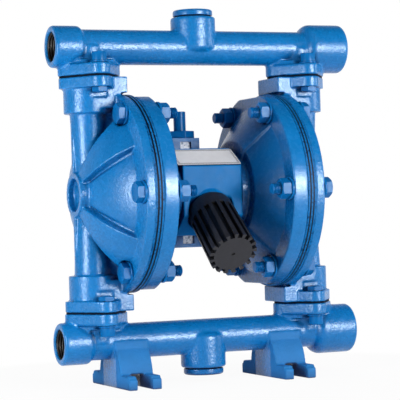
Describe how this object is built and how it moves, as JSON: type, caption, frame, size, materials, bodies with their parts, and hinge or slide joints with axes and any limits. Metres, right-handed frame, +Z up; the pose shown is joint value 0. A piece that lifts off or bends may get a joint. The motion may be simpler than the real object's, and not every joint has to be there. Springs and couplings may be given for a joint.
{
  "type": "air-operated double diaphragm pump",
  "caption": "Twin-diaphragm process pump with domed side covers, top and bottom threaded manifolds on feet, rear air valve and a finned silencer.",
  "frame": {"origin": "on the floor plane under the middle of the pump, where the shaft's middle plane meets the vertical plane of the manifold tubes", "axes": "+X along the manifolds towards their large ports, +Y towards the air valve at the back, +Z up"},
  "size_m": [0.2825, 0.1812, 0.334],
  "materials": {
    "blue_casting": "glossy hammered enamel",
    "painted_fasteners": "glossy enamel over zinc-plated steel",
    "painted_plug": "glossy enamel",
    "muffler_plastic": "moulded, satin",
    "nameplate_metal": "bare, fine brushed",
    "diaphragm_rubber": "matt",
    "overlay_plastic": "smooth, overpainted at the rim",
    "ball_rubber": "smooth",
    "seat_steel": "turned",
    "bush_bronze": "turned",
    "bright_steel": "ground",
    "plate_aluminium": "turned",
    "fibre_gasket": "matt"
  },
  "bodies": {
    "pump_frame": {"air_inlet_fitting": "painted_fasteners", "air_valve_body": "blue_casting", "centre_body": "blue_casting", "cover_bolts_left": "painted_fasteners", "cover_bolts_right": "painted_fasteners", "cover_nuts_left": "painted_fasteners", "cover_nuts_right": "painted_fasteners", "cover_washers_left": "painted_fasteners", "cover_washers_right": "painted_fasteners", "discharge_manifold": "blue_casting", "discharge_plug": "painted_plug", "discharge_plug_gasket": "fibre_gasket", "hub_screws_left": "bright_steel", "hub_screws_right": "bright_steel", "left_air_cover": "blue_casting", "left_diaphragm": "diaphragm_rubber", "left_discharge_gasket": "fibre_gasket", "left_discharge_seat": "seat_steel", "left_fluid_cover": "blue_casting", "left_overlay_diaphragm": "overlay_plastic", "left_shaft_bush": "bush_bronze", "left_suction_gasket": "fibre_gasket", "left_suction_seat": "seat_steel", "manifold_bolts_lower": "painted_fasteners", "manifold_bolts_upper": "painted_fasteners", "manifold_nuts_lower": "painted_fasteners", "manifold_nuts_upper": "painted_fasteners", "manifold_washers_lower": "painted_fasteners", "manifold_washers_upper": "painted_fasteners", "muffler": "muffler_plastic", "nameplate": "nameplate_metal", "right_air_cover": "blue_casting", "right_diaphragm": "diaphragm_rubber", "right_discharge_gasket": "fibre_gasket", "right_discharge_seat": "seat_steel", "right_fluid_cover": "blue_casting", "right_overlay_diaphragm": "overlay_plastic", "right_shaft_bush": "bush_bronze", "right_suction_gasket": "fibre_gasket", "right_suction_seat": "seat_steel", "suction_manifold": "blue_casting", "suction_plug": "painted_plug", "suction_plug_gasket": "fibre_gasket", "valve_bottom_cap": "blue_casting", "valve_cap_screws_lower": "painted_fasteners", "valve_cap_screws_upper": "painted_fasteners", "valve_top_cap": "blue_casting"},
    "shaft_assembly": {"diaphragm_shaft": "bright_steel", "left_inner_plate": "plate_aluminium", "left_outer_plate": "plate_aluminium", "right_inner_plate": "plate_aluminium", "right_outer_plate": "plate_aluminium"},
    "pilot": {"pilot_rod": "bright_steel"},
    "spool": {"valve_spool": "plate_aluminium"},
    "left_discharge_ball": {"left_discharge_ball": "ball_rubber"},
    "left_suction_ball": {"left_suction_ball": "ball_rubber"},
    "right_discharge_ball": {"right_discharge_ball": "ball_rubber"},
    "right_suction_ball": {"right_suction_ball": "ball_rubber"}
  },
  "joints": [
    {"name": "shaft_stroke", "type": "slide", "parent": "pump_frame", "child": "shaft_assembly", "axis": [1, 0, 0], "range_m": [-0.0075, 0.0075], "deforming": ["left_diaphragm", "left_overlay_diaphragm", "right_diaphragm", "right_overlay_diaphragm"]},
    {"name": "pilot_stroke", "type": "slide", "parent": "pump_frame", "child": "pilot", "axis": [1, 0, 0], "range_m": [-0.0025, 0.0025]},
    {"name": "spool_stroke", "type": "slide", "parent": "pump_frame", "child": "spool", "axis": [0, 0, 1], "range_m": [-0.006, 0.006]},
    {"name": "left_discharge_ball_lift", "type": "slide", "parent": "pump_frame", "child": "left_discharge_ball", "axis": [0, 0, 1], "range_m": [0, 0.006]},
    {"name": "left_suction_ball_lift", "type": "slide", "parent": "pump_frame", "child": "left_suction_ball", "axis": [0, 0, 1], "range_m": [0, 0.006]},
    {"name": "right_discharge_ball_lift", "type": "slide", "parent": "pump_frame", "child": "right_discharge_ball", "axis": [0, 0, 1], "range_m": [0, 0.006]},
    {"name": "right_suction_ball_lift", "type": "slide", "parent": "pump_frame", "child": "right_suction_ball", "axis": [0, 0, 1], "range_m": [0, 0.006]}
  ],
  "couplings": [
    {"joint": "pilot_stroke", "follows": "shaft_stroke", "ratio": 0.333}
  ]
}
